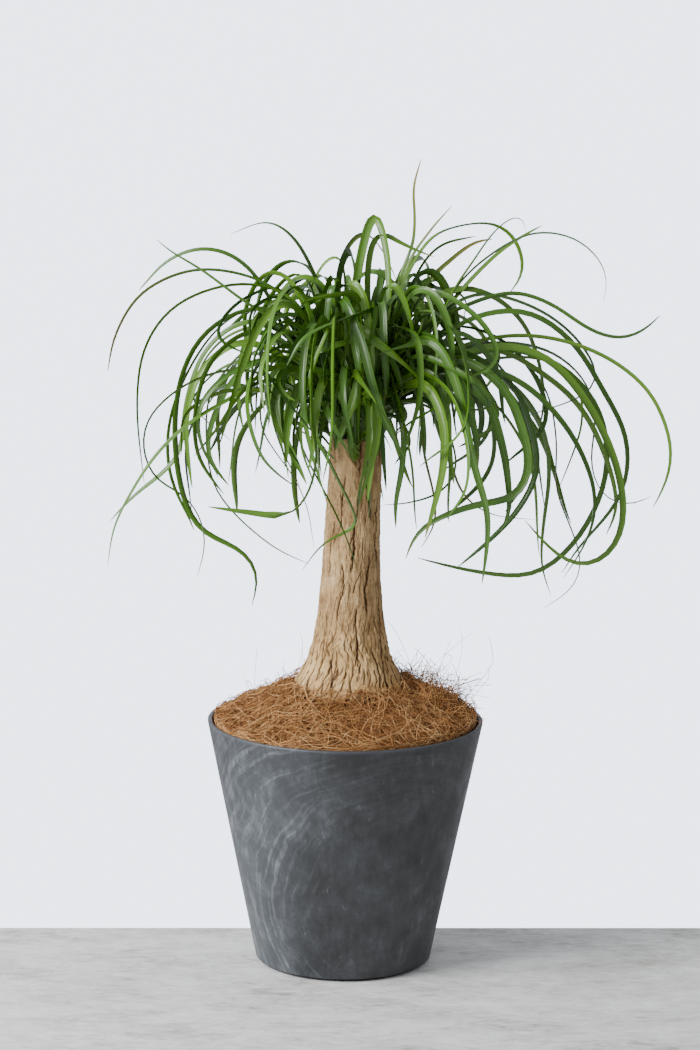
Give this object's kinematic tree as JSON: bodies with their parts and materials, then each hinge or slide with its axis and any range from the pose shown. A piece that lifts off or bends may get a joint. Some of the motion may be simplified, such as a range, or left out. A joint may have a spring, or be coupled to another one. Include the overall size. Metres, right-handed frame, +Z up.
{
  "type": "potted ponytail palm",
  "caption": "Ponytail palm with a bare flared trunk and arching strap leaves, standing in a tapered stone-look planter under a coir mat.",
  "frame": {"origin": "centre of the planter's flat foot, on the surface that it stands on", "axes": "+Z up along the planter; +X to the right and +Y away, as seen from the side that shows the bud on the trunk"},
  "size_m": [0.5621, 0.3894, 0.8184],
  "materials": {
    "stone_composite": "cast stone composite, marbled blue grey, satin",
    "potting_soil": "moist peat soil, matte",
    "coir": "loose coconut fibre, matte",
    "bark": "dry tan bark, fissured, matte",
    "grafting_wax": "black pruning wax, satin",
    "leaf": "living strap leaves, satin with fine lengthwise veins"
  },
  "bodies": {
    "root": {"planter": "stone_composite", "potting_soil": "potting_soil", "coir_mulch": "coir", "trunk": "bark", "cut_seal": "grafting_wax", "shoot_right": "leaf", "shoot_back": "leaf", "shoot_back_left": "leaf", "shoot_front_left": "leaf", "shoot_front": "leaf", "shoot_bud": "leaf"}
  },
  "joints": []
}
